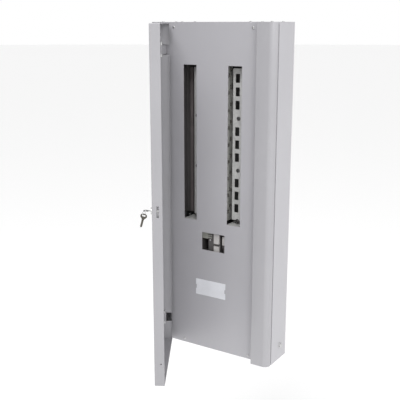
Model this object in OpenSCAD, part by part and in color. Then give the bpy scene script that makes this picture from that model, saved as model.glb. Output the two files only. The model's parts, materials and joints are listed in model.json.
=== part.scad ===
// Wall-mounted three-phase distribution board with a lockable door.
// X is the width, +Y goes into the wall, +Z is up; the origin is the middle of the wall fixings.

/* [Enclosure] */
// Overall width
body_w = 437; // [380:1:540]
// Overall height
body_h = 1060; // [880:1:1300]
// Depth from the wall to the front of the side trims
body_d = 127; // [110:1:170]
// Sheet thickness of box, trims, cover and door
sheet_t = 1.5; // [1:0.1:2]
// Spacing of the wall fixing holes across
fix_x = 320; // [240:1:360]
// Spacing of the wall fixing holes up and down
fix_z = 900; // [700:1:1100]
// Radius of a wall fixing hole
fix_r = 4.5; // [3:0.1:6]

/* [Side trims] */
// Radius of the rounded outer edge
trim_r = 21; // [14:0.5:26]
// Width of the right trim
trim_right_w = 60.5; // [45:0.5:80]
// Width of the left trim
trim_left_w = 37.5; // [27:0.5:60]
// Depth of the cover behind the front of the trims
cover_recess = 25; // [18:0.5:36]
// Height of the groove between trim and side
seam_gap = 5.5; // [2:0.5:8]
// Depth of that groove
seam_depth = 7; // [2:0.5:10]

/* [Breaker slots] */
// Three-pole ways in each column
ways = 9; // [4:1:10]
// Width of one breaker pole
pole_pitch = 18; // [17:0.1:18]
// Free space at each end of a slot
slot_end = 4; // [2:0.5:8]
// Width of a slot
slot_w = 47.5; // [45:0.5:50]
// From the middle of the busbars to the middle of a slot
slot_side = 80; // [72:0.5:90]
// Middle of the busbars from the middle of the box
bus_x = -4.5; // [-10:0.5:10]
// From the top of the box to the top of the slots
slot_top = 128; // [110:1:150]

/* [Lower cover] */
// Width of the incomer opening
incomer_w = 84; // [70:1:100]
// Height of the incomer opening
incomer_h = 59; // [50:1:70]
// Middle of the incomer opening from the middle of the box
incomer_x = 2; // [-10:0.5:10]
// From the slots down to the incomer opening
incomer_drop = 37; // [30:1:50]
// Width of the blank label plate
label_w = 112; // [80:1:120]
// Height of the blank label plate
label_h = 54; // [40:1:60]
// From the incomer opening down to the label plate
label_drop = 103; // [60:1:110]

/* [Door] */
// Depth of the door pan
door_d = 30; // [24:0.5:34]
// Angle that the door stands open at rest
door_open = 59.4; // [0:0.1:100]
// Gap between the door and the trim on the lock side
door_gap = 1.5; // [1:0.1:3]
// Gap between the door and the trim on the hinge side
hinge_gap = 2.5; // [2.3:0.1:4]
// Gap between the door rim and the cover
rim_gap = 1; // [0.5:0.1:2]
// From the ends of the box to the ends of the door
door_end = 4; // [2:0.5:8]
// From the ends of the box to the middle of a hinge
hinge_end = 84; // [60:1:140]
// Height of a hinge arm
hinge_h = 28; // [20:1:40]

/* [Lock] */
// Height of the lock above the bottom of the box
lock_z = 541; // [400:1:700]
// From the free edge of the door to the lock axis
lock_edge = 14; // [13:0.5:18]
// Reach of the lock cam
cam_reach = 20; // [17:0.5:22]

/* [Fits] */
// Radial running clearance of pins and plug
run_fit = 0.05; // [0.02:0.01:0.1]
// Radial clearance of a screw in its hole
screw_fit = 0.25; // [0.1:0.05:0.5]

/* [Hidden] */
over = 1;
deep = 20;
tip_gap = 0.2;
plate_screw_l = 8;
cover_screw_l = 7;
strip_screw_l = 9;
strip_slot_turn = 15;
inc_slot_turn = 40;
rivet_reach = 5;
small_head_r = 3.6;
foot_screw_z = 8;
foot_slot_turn = 20;
foot_head_h = 1.6;
pin_lip = 1;
pin_lip_h = 1.5;
pillar_thread = 8;
finger_lap = 6;
support_in0 = 14;
support_in1 = 4;
support_lip = 4;
support_below = 5;
support_above = 3;
riser_pitch = 18;
riser_out = 16;
riser_in0 = 10;
riser_in1 = 12;
cov_inset = 4;
cov_split0 = 14;
cov_split1 = 23;
side_low = 22;
side_top = 8;
inc_head_r = 3.5;
inc_head_h = 2;
knob_h = 7;
knob_grip = 9;
bar_thread = 4;
wire_in = 3;
wire_r = 2.4;
block_in = 3;
block_half = 6;
block_lip = 4;
bar_screw_l = 3;
bar_head_r = 3;
bar_head_h = 1.8;
edge_hole_y = 20;
hem_t = 1.2;
hem_h = 7;
hem_w = 4;
notch_gap = 3;
leaf_in = 6;
leaf_rivet_z = 12;
leaf_rivet_r = 1.5;
leaf_head_r = 3;
leaf_head_h = 1.2;
buffer_in = 30;
buffer_x = 14;
buffer_r = 5;
barrel_l = 14;
lock_nut_af = 19;
lock_nut_h = 4;
keyway_half = 3.6;
key_gap = 0.3;
key_fit = 0.1;
plug_thread = 8;
cam_screw_l = 5;
cam_head_h = 2;
key_root = 5;
key_bow = 6;
key_w = 3;
key_end = 2.8;
key_nose = 0.8;
tooth_first = 5;
tooth_pitch = 4;
tooth_in = 3.6;
tooth_w = 1.8;

$fa = 6;
$fs = 0.6;
eps = 0.01;
half_w = body_w / 2;
front_y = -body_d;
cover_y = front_y + cover_recess;
frame_y = cover_y + sheet_t;
seam_y = front_y + trim_r;
wall_y = seam_y + seam_gap;
step_y = seam_y - 2;
recess_l = -half_w + trim_left_w;
recess_r = half_w - trim_right_w;
frame_side = 37;
frame_end = 22;
edge_gap = 0.3;

slot_len = ways * 3 * pole_pitch + 2 * slot_end;
slot_z1 = body_h - slot_top;
slot_z0 = slot_z1 - slot_len;
slot_left_x = bus_x - slot_side;
slot_right_x = bus_x + slot_side;
inc_z1 = slot_z0 - incomer_drop;
inc_z0 = inc_z1 - incomer_h;
label_x = -7;
label_z1 = inc_z0 - label_drop;
label_t = 1.2;
clip_w = 3.5;
clip_h = 13;
clip_in = 3;
rivet_r = 1.4;
rivet_fit = 0.1;
cover_screw_x = [recess_l + 37.5, recess_r - 23, recess_l + 72, recess_r - 23];
cover_screw_z = [body_h - 16, body_h - 17, 13, 11.5];

screw_r = 2;
head_r = 4;
head_h = 2.2;
slot_cut = 1;
stud_z = 46.5;
stud_y = -43;
stud_r = 3;
stud_out = 8;
washer_r = 8.5;
washer_t = 1.2;
stud_af = 13;
stud_nut_h = 5;

gland_w = 280;
gland_d = 84;
gland_y = frame_y + 46.5;
gland_sx = 120;
gland_sy = 37;
gland_lap = 10;
knock_r = [10, 12.5, 16, 12.5, 10];
knock_x = [-90, -50, 0, 50, 90];
knock_cut = 0.6;
corner_x = half_w - 28.5;
corner_y = [-20, frame_y + 8.5];

pan_y = -22;
pan_x0 = slot_left_x - 65.5;
pan_x1 = slot_right_x + 62.5;
pan_over = 22;
pan_z0 = slot_z0 - pan_over;
pan_z1 = slot_z1 + pan_over;
pillar_r = 6;
pillar_in = 12;
nut_af = 10;
nut_h = 5;

bar_w = 26;
bar_t = 4;
bar_y = [pan_y - 46, pan_y - 34, pan_y - 22];
bar_z0 = slot_z0 - 30;
bar_z1 = slot_z1 + 6;
finger_h = 9;
finger_t = 2;
finger_reach = 38;
shroud_half = 34;
shroud_t = 2;
shroud_y0 = bar_y[0] - 8;
shroud_y1 = pan_y - 12;
window_y = 8;
window_z = 12;

strip_y = cover_y + 26;
strip_t = 1.5;
strip_w = 32;
strip_x = slot_right_x - 4.5;
strip_lip = 8;
hole_pitch = 2.25 * pole_pitch;
hole_w = 14.5;
hole_h = 27;
hole_r = 2;
strip_z0 = slot_z0 + 13;
strip_z1 = slot_z1 - 8;
hole_z1 = strip_z1 - 29.5;
strip_n = floor((strip_z1 - strip_z0) / hole_pitch);
strip_left_x = slot_left_x + 10.5;
strip_left_w = 22;
post_side = 4.5;
post_r = 5;
strip_head_r = 6.2;
strip_head_h = 3;

shelf_half = slot_w / 2 + 2;
shelf_y0 = frame_y + edge_gap;
shelf_y1 = -44;
shelf_drop = 12;
shelf_foot = 20;
shelf_hole_r = 3;
shelf_hole_x = 9;

liner_x0 = slot_left_x - 63.5;
liner_x1 = slot_left_x - 1.5;
liner_y = pan_y - 40;
liner_t = 2.5;
riser_x = slot_left_x - 13.5;
riser_w = 10;
riser_t = 4;
rail_x = slot_right_x + 23;
rail_w = 35;
rail_d = 7.5;

inc_y = cover_y + 16;
inc_pad = 16;
inc_wall = 3;
inc_floor = 40;
inc_channel = 20;
cov_x = incomer_x - 4;
cov_w = 20;
cov_t = 6;
side_x = cov_x + cov_w + 12;
side_w = 8;
block_x = incomer_x - 54;
block_w = 27;
block_h = 21;
rib_x = cov_x - 9;
rib_pitch = 7;
rib_h = 4;
inc_screw_x = cov_x - 17;
inc_screw_z = [inc_z0 - 9, inc_z0 + 30.5];
knob_x = side_x + 5;
knob_z = inc_z0 + 16.5;
knob_r = 4;
lower_z = inc_z0 - 150;
nbar_z = lower_z + 90;
ebar_z = lower_z;
nbar_len = 250;
nbar_ways = 24;
nbar_pitch = 10;
nbar_h = 12;
nbar_t = 9;
nbar_y = -52;

pin_r = 1.6;
knuckle_r = 3.2;
pivot_in = sheet_t + knuckle_r + 0.3;
door_x0 = recess_l + hinge_gap;
door_x1 = recess_r - door_gap;
door_yb = cover_y - rim_gap;
door_yf = door_yb - door_d;
door_z0 = door_end;
door_z1 = body_h - door_end;
pivot_x = door_x0 + pivot_in;
pivot_y = door_yf + pivot_in;
arm_t = 3;
arm_gap = 1.2;
foot_y = frame_y + sheet_t;
foot_w = 28;
notch_h = hinge_h + 3;
knuckle_h = 8;
knuckle_gap = 0.4;
hinge_z = [hinge_end, body_h - hinge_end];
leaf_w = 24;
leaf_t = 1.6;

lock_x = door_x1 - lock_edge;
barrel_r = 7;
barrel_flange_r = 9.5;
barrel_flange_h = 4;
plug_r = 5;
cam_y = door_yf + 16.5;
cam_t = 2.4;
cam_w = 10;
cam_slot_h = 34;
cam_slot_y = 7;
edge_hole_z = 75;
edge_hole_r = 2.5;
key_t = 1.8;
key_bow_r = 7.2;
key_bow_side = 2.3;
key_eye_in = 1.5;
key_eye_r = 2.6;
key_eye_side = 2.6;
key_neck = 13;
key_len = 33;
key_tip = 2.5;
key_out = 16;
key_stop = door_yf + 11.8;
eye_y = door_yf - barrel_flange_h - key_out;
ring_r = 6.4;
ring_wire = 0.6;
ring_gap = 0.25;
ring_turn = 60;
ring_out = 6.25;
ring_drop = 4.38;
spare_lean = 15;

// Shared pieces

module in_frame() {
    translate([0, 0, -body_h / 2]) children();
}

module door_frame() {
    in_frame()
        translate([pivot_x, pivot_y, 0])
            rotate([0, 0, -door_open])
                translate([-pivot_x, -pivot_y, 0])
                    children();
}

module block(x0, x1, y0, y1, z0, z1) {
    translate([x0, y0, z0]) cube([x1 - x0, y1 - y0, z1 - z0]);
}

module rod_y(r, y0, y1) {
    translate([0, y0, 0]) rotate([-90, 0, 0]) cylinder(r = r, h = y1 - y0);
}

module hex(af, h) {
    intersection_for (a = [0, 60, 120])
        rotate([0, 0, a]) translate([-af / 2, -af, 0]) cube([af, 2 * af, h]);
}

// Slotted screw standing on the plane z = 0 with its shank going down.
module screw(r, length, rh, hh) {
    difference() {
        cylinder(r = rh, h = hh);
        translate([-rh, -slot_cut / 2, hh - slot_cut]) cube([2 * rh, slot_cut, hh]);
    }
    translate([0, 0, -length]) cylinder(r = r, h = length + eps);
}

// The same screw with its head facing the front, on the plane y.
module screw_front(x, y, z, length) {
    translate([x, y, z]) rotate([90, 30, 0]) screw(screw_r, length, head_r, head_h);
}

module hole_front(x, z, r) {
    translate([x, 0, z]) rod_y(r, -body_d - 60, 10);
}

// Enclosure

module gland_points() {
    for (sx = [-1, 1], sy = [-1, 1])
        translate([sx * gland_sx, gland_y + sy * gland_sy, 0]) children();
}

module corner_points() {
    for (sx = [-1, 1], y = corner_y) translate([sx * corner_x, y, 0]) children();
}

module box_end(z) {
    ear_x = half_w - seam_depth - sheet_t;
    block(-half_w, half_w, frame_y, 0, z, z + sheet_t);
    block(recess_r + sheet_t + edge_gap, ear_x, step_y, frame_y + eps, z, z + sheet_t);
    block(-ear_x, recess_l - sheet_t - edge_gap, step_y, frame_y + eps, z, z + sheet_t);
}

module box_side() {
    block(half_w - sheet_t, half_w, wall_y, 0, 0, body_h);
    block(half_w - seam_depth - sheet_t, half_w, wall_y, wall_y + sheet_t, 0, body_h);
    block(half_w - seam_depth - sheet_t, half_w - seam_depth, step_y, wall_y + eps, 0, body_h);
}

module box_shell() {
    block(-half_w, half_w, -sheet_t, 0, 0, body_h);
    box_end(0);
    box_end(body_h - sheet_t);
    box_side();
    mirror([1, 0, 0]) box_side();
    difference() {
        block(-half_w + sheet_t, half_w - sheet_t, frame_y, frame_y + sheet_t, 0, body_h);
        block(recess_l + frame_side, recess_r - frame_side, frame_y - over, frame_y + sheet_t + over,
            frame_end, body_h - frame_end);
    }
}

module back_box() {
    color("lightgray") in_frame() difference() {
        box_shell();
        for (z = [-over, body_h - sheet_t - over])
            block(-gland_w / 2 + gland_lap * 2, gland_w / 2 - gland_lap * 2,
                gland_y - gland_d / 2 + gland_lap, gland_y + gland_d / 2 - gland_lap,
                z, z + sheet_t + 2 * over);
        translate([0, 0, -over]) gland_points() cylinder(r = screw_r + screw_fit, h = body_h + 2 * over);
        translate([0, 0, -over]) corner_points() cylinder(r = screw_r + screw_fit, h = body_h + 2 * over);
        for (sx = [-1, 1], sz = [-1, 1])
            hole_front(sx * fix_x / 2, body_h / 2 + sz * fix_z / 2, fix_r);
        for (i = [0:3]) hole_front(cover_screw_x[i], cover_screw_z[i], screw_r + screw_fit);
        translate([half_w, stud_y, stud_z]) rotate([0, 90, 0])
            cylinder(r = stud_r + screw_fit, h = deep, center = true);
        hinge_screw_points() rod_y(screw_r + screw_fit, -deep, deep);
        for (z = hinge_z)
            block(pivot_x - arm_t / 2 - edge_gap, pivot_x + arm_t / 2 + edge_gap,
                frame_y - over, foot_y + over,
                z - hinge_h / 2 - edge_gap, z + hinge_h / 2 + edge_gap);
        pillar_points() rod_y(screw_r + screw_fit, -deep, deep);
    }
}

module gland_plate(z) {
    difference() {
        block(-gland_w / 2, gland_w / 2, gland_y - gland_d / 2, gland_y + gland_d / 2, z, z + sheet_t);
        translate([0, 0, z - over]) gland_points() cylinder(r = screw_r + screw_fit, h = sheet_t + 2 * over);
        for (i = [0:4]) translate([knock_x[i], gland_y, z]) knockout_groove(knock_r[i]);
    }
}

module knockout_groove(r) {
    difference() {
        translate([0, 0, -eps]) cylinder(r = r + knock_cut, h = knock_cut);
        translate([0, 0, -over]) cylinder(r = r, h = knock_cut + 2 * over);
    }
}

module top_gland_plate() {
    color("silver") in_frame() gland_plate(body_h - 2 * sheet_t);
}

module bottom_gland_plate() {
    color("silver") in_frame() gland_plate(sheet_t);
}

module gland_screws() {
    color("gainsboro") in_frame() {
        translate([0, 0, body_h]) gland_points() screw(screw_r, plate_screw_l, head_r, head_h);
        mirror([0, 0, 1]) gland_points() screw(screw_r, plate_screw_l, head_r, head_h);
    }
}

module corner_screws() {
    color("gainsboro") in_frame() {
        translate([0, 0, body_h]) corner_points() screw(screw_r, plate_screw_l, head_r, head_h);
        mirror([0, 0, 1]) corner_points() screw(screw_r, plate_screw_l, head_r, head_h);
    }
}

// Side trims: a folded front with a quarter-round outer edge.

module trim_outline(w, inset) {
    translate([half_w - w + inset, front_y + inset]) square([w - trim_r - inset, trim_r - inset]);
    intersection() {
        translate([half_w - trim_r, seam_y]) circle(r = trim_r - inset);
        translate([half_w - trim_r, front_y]) square([trim_r, trim_r]);
    }
}

module trim_section(w) {
    difference() {
        trim_outline(w, 0);
        trim_outline(w, sheet_t);
    }
    translate([half_w - w, seam_y - eps]) square([sheet_t, frame_y - seam_y + eps]);
    intersection() {
        trim_outline(w, 0);
        translate([half_w - seam_depth + edge_gap, seam_y - sheet_t]) square([seam_depth, sheet_t]);
    }
}

module trim_left() {
    color("silver") in_frame() mirror([1, 0, 0]) linear_extrude(height = body_h) trim_section(trim_left_w);
}

module trim_right() {
    color("silver") in_frame() difference() {
        linear_extrude(height = body_h) trim_section(trim_right_w);
        block(recess_r - over, recess_r + sheet_t + over,
            cam_y - cam_slot_y / 2 - over, cam_y + cam_slot_y / 2 + over,
            lock_z - cam_slot_h / 2, lock_z + cam_slot_h / 2);
    }
}

module trim_cap_outline(w) {
    intersection() {
        trim_outline(w, sheet_t);
        translate([0, front_y]) square([half_w, step_y - front_y - edge_gap]);
    }
}

module trim_cap_pair(w) {
    for (z = [0, body_h - sheet_t])
        translate([0, 0, z]) linear_extrude(height = sheet_t) trim_cap_outline(w);
}

module trim_caps_left() {
    color("silver") in_frame() mirror([1, 0, 0]) trim_cap_pair(trim_left_w);
}

module trim_caps_right() {
    color("silver") in_frame() trim_cap_pair(trim_right_w);
}

// Front cover

module cover_cuts() {
    for (x = [slot_left_x, slot_right_x])
        block(x - slot_w / 2, x + slot_w / 2, cover_y - over, frame_y + over, slot_z0, slot_z1);
    block(incomer_x - incomer_w / 2, incomer_x + incomer_w / 2, cover_y - over, frame_y + over,
        inc_z0, inc_z1);
    for (i = [0:3]) hole_front(cover_screw_x[i], cover_screw_z[i], screw_r + screw_fit);
    for (z = hinge_z)
        block(recess_l - over, pivot_x + arm_t / 2 + arm_gap, cover_y - over, frame_y + over,
            z - hinge_h / 2 - arm_gap, z + hinge_h / 2 + arm_gap);
    label_rivet_points() rod_y(rivet_r + rivet_fit, -rivet_reach, rivet_reach);
}

module front_cover() {
    color("silver") in_frame() difference() {
        block(recess_l + edge_gap, recess_r - edge_gap, cover_y, frame_y, edge_gap * 3, body_h - edge_gap);
        cover_cuts();
    }
}

module cover_screws() {
    color("gainsboro") in_frame()
        for (i = [0:3]) screw_front(cover_screw_x[i], cover_y, cover_screw_z[i], cover_screw_l);
}

module label_rivet_points() {
    for (sx = [-1, 1])
        translate([label_x + sx * (label_w / 2 - clip_in + clip_w), cover_y, label_z1 - label_h / 2])
            children();
}

module label_plate() {
    gap = edge_gap / 2;
    color("white") in_frame() difference() {
        block(label_x - label_w / 2, label_x + label_w / 2, cover_y - label_t, cover_y,
            label_z1 - label_h, label_z1);
        label_rivet_points() block(-clip_w - gap, clip_w + gap, -2 * label_t, label_t,
            -clip_h / 2 - gap, clip_h / 2 + gap);
    }
}

// Clips that hold the label plate at its two ends
module label_rivets() {
    color("gainsboro") in_frame() label_rivet_points() {
        block(-clip_w, clip_w, -label_t, 0, -clip_h / 2, clip_h / 2);
        rod_y(rivet_r, -eps, 2 * sheet_t);
    }
}

module earth_stud() {
    color("gainsboro") in_frame() translate([half_w, stud_y, stud_z]) rotate([0, 90, 0]) {
        cylinder(r = washer_r, h = washer_t);
        translate([0, 0, washer_t - eps]) hex(stud_af, stud_nut_h);
        translate([0, 0, stud_out - deep]) cylinder(r = stud_r, h = deep);
        translate([0, 0, -sheet_t - stud_nut_h]) hex(stud_af, stud_nut_h);
    }
}

// Hinges: an arm on the box reaches round the door rim to a pin inside the door corner.

module hinge_screw_points() {
    for (z = hinge_z, dz = [-1, 1])
        translate([pivot_x + foot_w / 2 - over, frame_y, z + dz * foot_screw_z]) children();
}

module hinge_arm(z) {
    difference() {
        union() {
            translate([pivot_x, pivot_y, z - hinge_h / 2]) cylinder(r = knuckle_r, h = hinge_h);
            block(pivot_x - arm_t / 2, pivot_x + arm_t / 2, pivot_y, foot_y + arm_t,
                z - hinge_h / 2, z + hinge_h / 2);
            block(pivot_x - arm_t / 2, pivot_x - arm_t / 2 + foot_w, foot_y, foot_y + arm_t,
                z - hinge_h / 2, z + hinge_h / 2);
        }
        translate([pivot_x, pivot_y, z - hinge_h]) cylinder(r = pin_r, h = 2 * hinge_h);
        hinge_screw_points() rod_y(screw_r + screw_fit, -deep, deep);
    }
}

module hinge_arm_top() {
    color("dimgray") in_frame() hinge_arm(hinge_z[1]);
}

module hinge_arm_bottom() {
    color("dimgray") in_frame() hinge_arm(hinge_z[0]);
}

module hinge_pins() {
    reach = hinge_h / 2 + knuckle_gap + knuckle_h + 0.5;
    color("gainsboro") in_frame() for (z = hinge_z) {
        translate([pivot_x, pivot_y, z - reach]) cylinder(r = pin_r, h = 2 * reach);
        translate([pivot_x, pivot_y, z + reach - eps]) cylinder(r = pin_r + pin_lip, h = pin_lip_h);
    }
}

module hinge_screws() {
    color("gainsboro") in_frame() hinge_screw_points()
        translate([0, sheet_t + arm_t, 0]) rotate([-90, foot_slot_turn, 0])
            screw(screw_r, sheet_t + arm_t - tip_gap, small_head_r, foot_head_h);
}

// Chassis behind the slots

module pillar_points() {
    for (x = [pan_x0 + pillar_in, pan_x1 - pillar_in], z = [pan_z0 + pillar_in, pan_z1 - pillar_in])
        translate([x, 0, z]) children();
}

module pan_plate() {
    color("silver") in_frame() difference() {
        block(pan_x0, pan_x1, pan_y, pan_y + sheet_t, pan_z0, pan_z1);
        pillar_points() rod_y(screw_r + screw_fit, -2 * deep, 0);
        post_points() rod_y(screw_r + screw_fit, -2 * deep, 0);
    }
}

module pan_pillars() {
    color("gainsboro") in_frame() pillar_points() {
        rod_y(pillar_r, pan_y + sheet_t, -sheet_t);
        rod_y(screw_r, pan_y - pillar_thread, pan_y + sheet_t + eps);
        rod_y(screw_r, -sheet_t - eps, -0.2);
    }
}

module pan_nuts() {
    color("gainsboro") in_frame() pillar_points() translate([0, pan_y, 0]) rotate([90, 0, 0])
        difference() {
            hex(nut_af - 2, nut_h - 1);
            translate([0, 0, -over]) cylinder(r = screw_r, h = nut_h + 2);
        }
}

module busbar(i) {
    block(bus_x - bar_w / 2, bus_x + bar_w / 2, bar_y[i], bar_y[i] + bar_t, bar_z0, bar_z1);
}

module busbar_l1() {
    color("chocolate") in_frame() busbar(0);
}

module busbar_l2() {
    color("chocolate") in_frame() busbar(1);
}

module busbar_l3() {
    color("chocolate") in_frame() busbar(2);
}

function finger_z(k) = slot_z0 + slot_end + (k + 0.5) * pole_pitch;

module bus_fingers() {
    color("peru") in_frame() for (k = [0:ways * 3 - 1], s = [-1, 1]) {
        y = bar_y[k % 3] - finger_t;
        z = finger_z(k);
        x0 = bus_x + s * (bar_w / 2 - finger_lap);
        x1 = bus_x + s * finger_reach;
        block(min(x0, x1), max(x0, x1), y, y + finger_t, z - finger_h / 2, z + finger_h / 2);
    }
}

module busbar_supports() {
    color("darkslategray") in_frame() for (z = [bar_z0 + support_in0, bar_z1 - support_in1]) difference() {
        block(bus_x - shroud_half + shroud_t + 1, bus_x + shroud_half - shroud_t - 1,
            bar_y[0] - support_lip, pan_y, z - support_below, z + support_above);
        for (i = [0:2])
            block(bus_x - bar_w / 2, bus_x + bar_w / 2, bar_y[i], bar_y[i] + bar_t,
                z - deep, z + deep);
    }
}

module bus_shroud() {
    color("darkolivegreen") in_frame() difference() {
        block(bus_x - shroud_half, bus_x + shroud_half, shroud_y0, shroud_y1, slot_z0 + 1, slot_z1 - 1);
        block(bus_x - shroud_half + shroud_t, bus_x + shroud_half - shroud_t, shroud_y0 + shroud_t,
            shroud_y1 + 1, slot_z0 - 1, slot_z1 + 1);
        for (k = [0:ways * 3 - 1]) {
            y = bar_y[k % 3] - finger_t / 2;
            block(bus_x - shroud_half - 1, bus_x + shroud_half + 1, y - window_y / 2, y + window_y / 2,
                finger_z(k) - window_z / 2, finger_z(k) + window_z / 2);
        }
    }
}

// Perforated mounting strips

module post_points() {
    for (k = [3, 7, 11]) if (k <= strip_n)
        translate([0, 0, hole_z1 - k * hole_pitch]) {
            translate([strip_x + post_side, 0, 0]) children();
            translate([strip_left_x, 0, 0]) children();
        }
}

module round_window(w, h, r, y0, y1) {
    block(-w / 2 + r, w / 2 - r, y0, y1, -h / 2, h / 2);
    block(-w / 2, w / 2, y0, y1, -h / 2 + r, h / 2 - r);
    for (sx = [-1, 1], sz = [-1, 1])
        translate([sx * (w / 2 - r), 0, sz * (h / 2 - r)]) rod_y(r, y0, y1);
}

module strip_right() {
    color("silver") in_frame() difference() {
        union() {
            block(strip_x - strip_w / 2, strip_x + strip_w / 2, strip_y, strip_y + strip_t,
                strip_z0, strip_z1);
            for (x = [strip_x - strip_w / 2, strip_x + strip_w / 2 - strip_t])
                block(x, x + strip_t, strip_y, strip_y + strip_lip, strip_z0, strip_z1);
        }
        for (k = [0:strip_n]) if (k % 4 != 3)
            translate([strip_x, strip_y, hole_z1 - k * hole_pitch])
                round_window(hole_w, hole_h, hole_r, -1, strip_t + 1);
        post_points() rod_y(screw_r + screw_fit, -body_d, 0);
    }
}

module strip_left() {
    color("silver") in_frame() difference() {
        union() {
            block(strip_left_x - strip_left_w / 2, strip_left_x + strip_left_w / 2,
                strip_y, strip_y + strip_t, strip_z0, strip_z1);
            block(strip_left_x - strip_left_w / 2, strip_left_x - strip_left_w / 2 + strip_t,
                strip_y, strip_y + strip_lip, strip_z0, strip_z1);
        }
        post_points() rod_y(screw_r + screw_fit, -body_d, 0);
    }
}

module strip_posts() {
    color("gainsboro") in_frame() post_points() difference() {
        rod_y(post_r, strip_y + strip_t, pan_y);
        rod_y(screw_r + screw_fit, strip_y - over, strip_y + strip_t + deep);
    }
}

module strip_screws() {
    color("gainsboro") in_frame() post_points()
        translate([0, strip_y, 0]) rotate([90, strip_slot_turn, 0])
            screw(screw_r, strip_screw_l, strip_head_r, strip_head_h);
}

// Shelf below a slot, on a stepped foot that stands on the chassis plate.
module slot_shelf(x) {
    z = slot_z0;
    difference() {
        union() {
            block(x - shelf_half, x + shelf_half, shelf_y0, shelf_y1, z - sheet_t, z);
            block(x - shelf_foot, x + shelf_foot, shelf_y1 - sheet_t, shelf_y1, z - shelf_drop, z);
            block(x - shelf_foot, x + shelf_foot, shelf_y1 - sheet_t, pan_y,
                z - shelf_drop, z - shelf_drop + sheet_t);
            block(x - shelf_foot, x + shelf_foot, pan_y - sheet_t, pan_y,
                z - pan_over + sheet_t, z - shelf_drop + sheet_t);
        }
        for (s = [-1, 1]) translate([x + s * shelf_hole_x, (shelf_y0 + shelf_y1) / 2, z - 2 * sheet_t])
            cylinder(r = shelf_hole_r, h = 3 * sheet_t);
    }
}

module slot_shelves() {
    color("silver") in_frame() for (x = [slot_left_x, slot_right_x]) slot_shelf(x);
}

// Left bay: a dark moulded trough with the neutral riser in it.

module left_liner() {
    color("black") in_frame() difference() {
        block(liner_x0, liner_x1, liner_y, pan_y, slot_z0 + 2, slot_z1 - 2);
        block(liner_x0 + liner_t, liner_x1 - liner_t, liner_y - 1, pan_y - liner_t, slot_z0 - 1, slot_z1 + 1);
    }
}

module neutral_riser() {
    color("peru") in_frame() for (i = [0:1])
        block(riser_x - riser_w / 2 - i * riser_pitch, riser_x + riser_w / 2 - i * riser_pitch,
            pan_y - liner_t - riser_t - riser_out, pan_y - liner_t, slot_z0 + riser_in0, slot_z1 - riser_in1);
}

module rail_right() {
    hat = 5;
    color("silver") in_frame() {
        block(rail_x - rail_w / 2 + hat, rail_x + rail_w / 2 - hat, pan_y - 1, pan_y, strip_z0, strip_z1);
        for (s = [-1, 1]) {
            x = rail_x + s * (rail_w / 2 - hat);
            block(x - 0.5, x + 0.5, pan_y - rail_d, pan_y, strip_z0, strip_z1);
            block(min(x - 0.5, x + s * hat), max(x + 0.5, x + s * hat), pan_y - rail_d, pan_y - rail_d + 1,
                strip_z0, strip_z1);
        }
    }
}

// Incomer behind the square opening

module incomer_base() {
    x0 = incomer_x - incomer_w / 2 - inc_pad;
    x1 = incomer_x + incomer_w / 2 + inc_pad / 2;
    z0 = inc_z0 - inc_pad;
    z1 = inc_z1 + inc_wall;
    color("dimgray") in_frame() difference() {
        block(x0, x1, inc_y, -sheet_t, z0, z1);
        block(x0 + inc_wall, block_x + block_w, inc_y - 1, -inc_floor, z0 + inc_wall, z1 - inc_wall);
        block(cov_x + cov_w + 1, side_x, inc_y - 1, inc_y + inc_channel, z0 + inc_wall, z1 - inc_wall);
        incomer_screw_points() rod_y(screw_r + screw_fit, -over, deep);
    }
}

module incomer_covers() {
    color("white") in_frame() {
        block(cov_x, cov_x + cov_w, inc_y - cov_t, inc_y, inc_z0 + cov_split1, inc_z1 - cov_inset);
        block(cov_x, cov_x + cov_w, inc_y - cov_t, inc_y, inc_z0 - cov_inset, inc_z0 + cov_split0);
        block(side_x, side_x + side_w, inc_y - cov_t, inc_y, inc_z0 + side_low, inc_z1 - side_top);
    }
}

// Terminal block with three ribs beside it
module incomer_block() {
    z1 = inc_z1 - inc_wall;
    color("darkolivegreen") in_frame() {
        block(block_x, block_x + block_w, inc_y - inc_wall, -inc_floor, z1 - block_h, z1);
        for (i = [0:2])
            block(block_x + block_w - 1, rib_x, inc_y - inc_wall, inc_y,
                z1 - rib_h - i * rib_pitch, z1 - i * rib_pitch);
    }
}

module incomer_screw_points() {
    for (z = inc_screw_z) translate([inc_screw_x, inc_y, z]) children();
}

module incomer_screws() {
    color("gainsboro") in_frame() incomer_screw_points() rotate([90, inc_slot_turn, 0])
        screw(screw_r, plate_screw_l, inc_head_r, inc_head_h);
}

module incomer_knob() {
    color("black") in_frame() translate([knob_x, inc_y, knob_z]) rotate([90, 0, 0]) {
        cylinder(r = knob_r, h = knob_h);
        translate([-over, -knob_r - over, 0]) cube([2 * over, 2 * knob_r + 2 * over, knob_grip]);
    }
}

// Neutral and earth terminal bars below the incomer

module bar_screw_points(z) {
    for (k = [0:nbar_ways - 1])
        translate([(k - (nbar_ways - 1) / 2) * nbar_pitch, nbar_y - nbar_t, z + nbar_h / 2]) children();
}

module terminal_bar(z) {
    difference() {
        block(-nbar_len / 2, nbar_len / 2, nbar_y - nbar_t, nbar_y, z, z + nbar_h);
        bar_screw_points(z) rod_y(screw_r, -over, bar_thread);
        bar_screw_points(z) translate([0, nbar_t - wire_in, -nbar_h]) cylinder(r = wire_r, h = 2 * nbar_h);
    }
}

module neutral_bar() {
    color("gold") in_frame() terminal_bar(nbar_z);
}

module earth_bar() {
    color("gold") in_frame() terminal_bar(ebar_z);
}

module bar_blocks() {
    color("darkslategray") in_frame() for (z = [nbar_z, ebar_z], s = [-1, 1])
        block(s * (nbar_len / 2 - block_in) - block_half, s * (nbar_len / 2 - block_in) + block_half,
            nbar_y, -sheet_t, z - block_lip, z + nbar_h + block_lip);
}

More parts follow.
